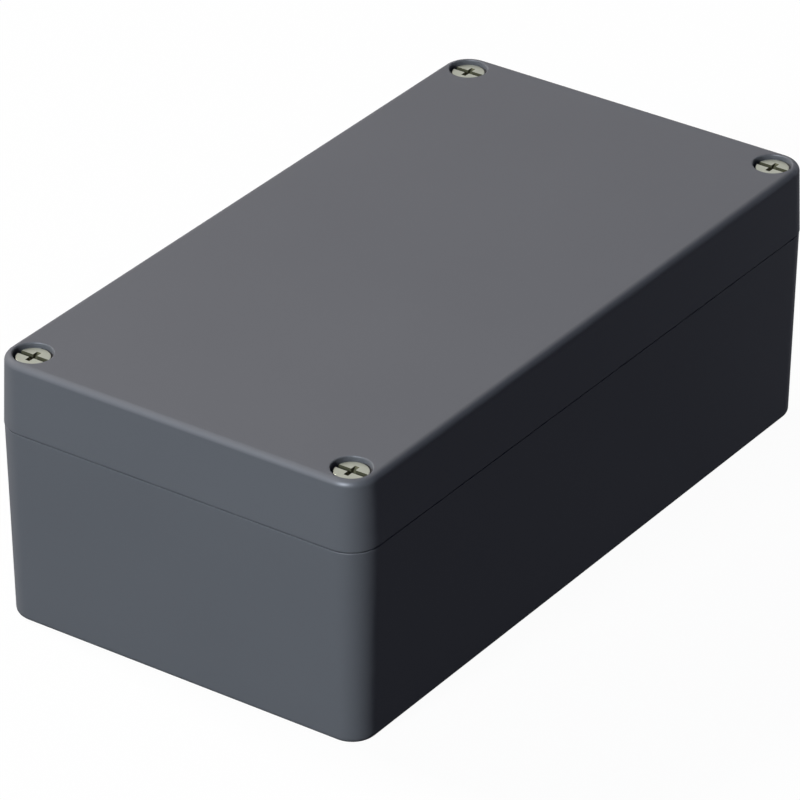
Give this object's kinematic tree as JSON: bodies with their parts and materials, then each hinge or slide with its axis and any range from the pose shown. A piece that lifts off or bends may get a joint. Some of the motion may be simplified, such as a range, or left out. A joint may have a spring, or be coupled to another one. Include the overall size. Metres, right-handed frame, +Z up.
{
  "type": "die cast aluminium enclosure",
  "caption": "Grey painted die cast aluminium box with a gasketed lid held by captive screws, stepped corner columns, tapped floor bosses and an earth terminal.",
  "frame": {"origin": "centre of the underside", "axes": "+X along the length, +Y across the width, +Z up through the lid"},
  "size_m": [0.22, 0.12, 0.08],
  "materials": {
    "painted_casting": "grey powder coat, fine satin texture",
    "gasket": "matt",
    "steel": "satin",
    "keeper": "matt"
  },
  "bodies": {
    "base": {"base": "painted_casting", "earth_clamp": "steel", "earth_lock_washer": "steel", "earth_screw": "steel"},
    "lid": {"lid": "painted_casting", "gasket": "gasket"},
    "keeper_front_left": {"screw_keeper_front_left": "keeper"},
    "screw_front_left": {"lid_screw_front_left": "steel"},
    "keeper_front_right": {"screw_keeper_front_right": "keeper"},
    "screw_front_right": {"lid_screw_front_right": "steel"},
    "keeper_rear_left": {"screw_keeper_rear_left": "keeper"},
    "screw_rear_left": {"lid_screw_rear_left": "steel"},
    "keeper_rear_right": {"screw_keeper_rear_right": "keeper"},
    "screw_rear_right": {"lid_screw_rear_right": "steel"}
  },
  "joints": [
    {"name": "lid_lift", "type": "slide", "parent": "base", "child": "lid", "axis": [0, 0, 1], "range_m": [0, 0.1]},
    {"name": "screw_rise_front_left", "type": "slide", "parent": "lid", "child": "keeper_front_left", "axis": [0, 0, 1], "range_m": [0, 0.009]},
    {"name": "screw_turn_front_left", "type": "hinge", "parent": "keeper_front_left", "child": "screw_front_left", "pos_m": [-0.1015, -0.0515, 0.077], "axis": [0, 0, 1], "range_deg": [0, 3240]},
    {"name": "screw_rise_front_right", "type": "slide", "parent": "lid", "child": "keeper_front_right", "axis": [0, 0, 1], "range_m": [0, 0.009]},
    {"name": "screw_turn_front_right", "type": "hinge", "parent": "keeper_front_right", "child": "screw_front_right", "pos_m": [0.1015, -0.0515, 0.077], "axis": [0, 0, 1], "range_deg": [0, 3240]},
    {"name": "screw_rise_rear_left", "type": "slide", "parent": "lid", "child": "keeper_rear_left", "axis": [0, 0, 1], "range_m": [0, 0.009]},
    {"name": "screw_turn_rear_left", "type": "hinge", "parent": "keeper_rear_left", "child": "screw_rear_left", "pos_m": [-0.1015, 0.0515, 0.077], "axis": [0, 0, 1], "range_deg": [0, 3240]},
    {"name": "screw_rise_rear_right", "type": "slide", "parent": "lid", "child": "keeper_rear_right", "axis": [0, 0, 1], "range_m": [0, 0.009]},
    {"name": "screw_turn_rear_right", "type": "hinge", "parent": "keeper_rear_right", "child": "screw_rear_right", "pos_m": [0.1015, 0.0515, 0.077], "axis": [0, 0, 1], "range_deg": [0, 3240]}
  ],
  "couplings": [
    {"joint": "screw_turn_front_left", "follows": "screw_rise_front_left", "rad_per_m": 6283.2},
    {"joint": "screw_turn_front_right", "follows": "screw_rise_front_right", "rad_per_m": 6283.2},
    {"joint": "screw_turn_rear_left", "follows": "screw_rise_rear_left", "rad_per_m": 6283.2},
    {"joint": "screw_turn_rear_right", "follows": "screw_rise_rear_right", "rad_per_m": 6283.2}
  ]
}
